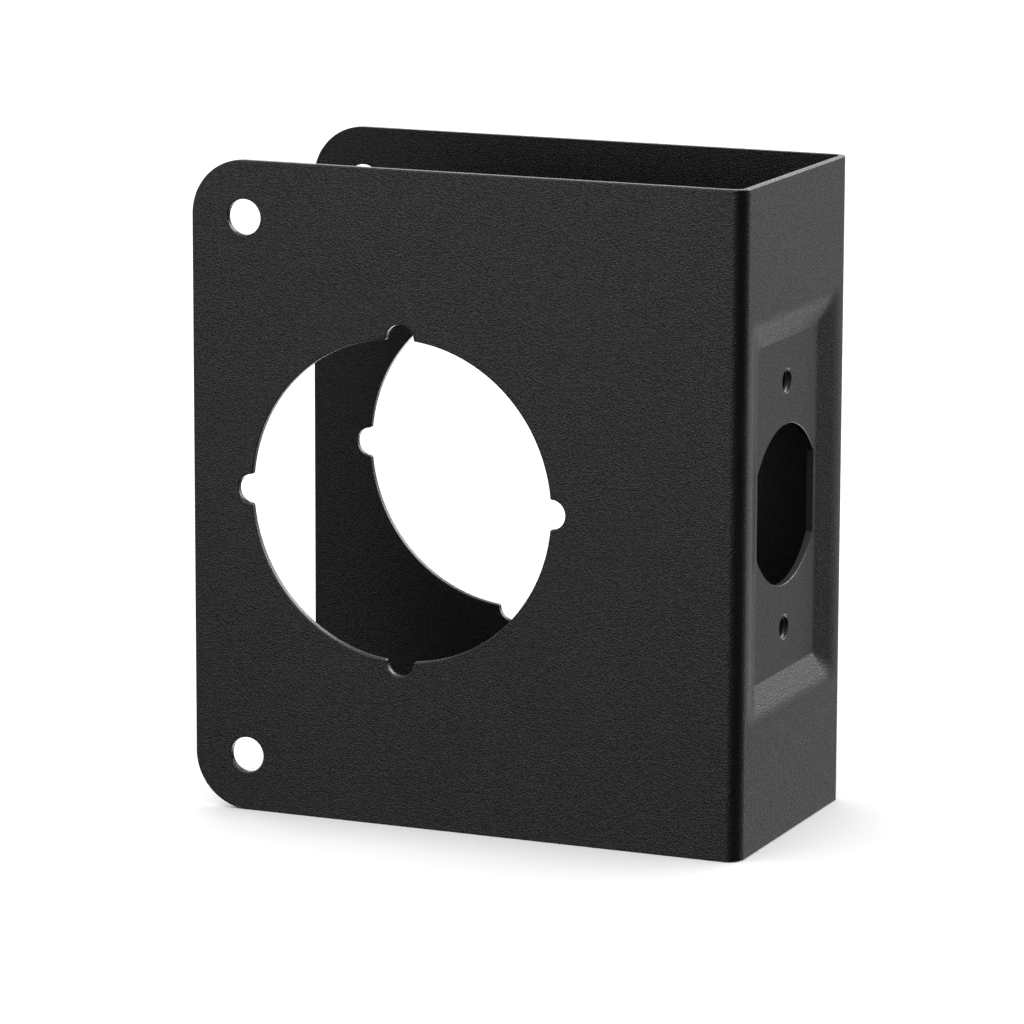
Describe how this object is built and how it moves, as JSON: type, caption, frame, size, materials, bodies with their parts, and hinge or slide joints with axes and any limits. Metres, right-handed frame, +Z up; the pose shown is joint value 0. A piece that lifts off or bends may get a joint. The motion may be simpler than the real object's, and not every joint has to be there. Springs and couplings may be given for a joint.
{
  "type": "lock reinforcement plate",
  "caption": "Folded steel plate that wraps the edge of a door, with a notched lock bore through both leaves and a recessed latch opening in its edge panel.",
  "frame": {"origin": "middle of the plate's box, on its lower edges, on which it stands", "axes": "+X from the free edges of the leaves to the edge panel, +Y through the door from the front leaf to the back leaf, +Z up the door"},
  "size_m": [0.098, 0.0484, 0.1102],
  "materials": {
    "black_powder_coat": "matt black powder coat with a fine leathery grain, thinner and brighter along the cut edges"
  },
  "bodies": {
    "root": {"wraparound_plate": "black_powder_coat"}
  },
  "joints": []
}
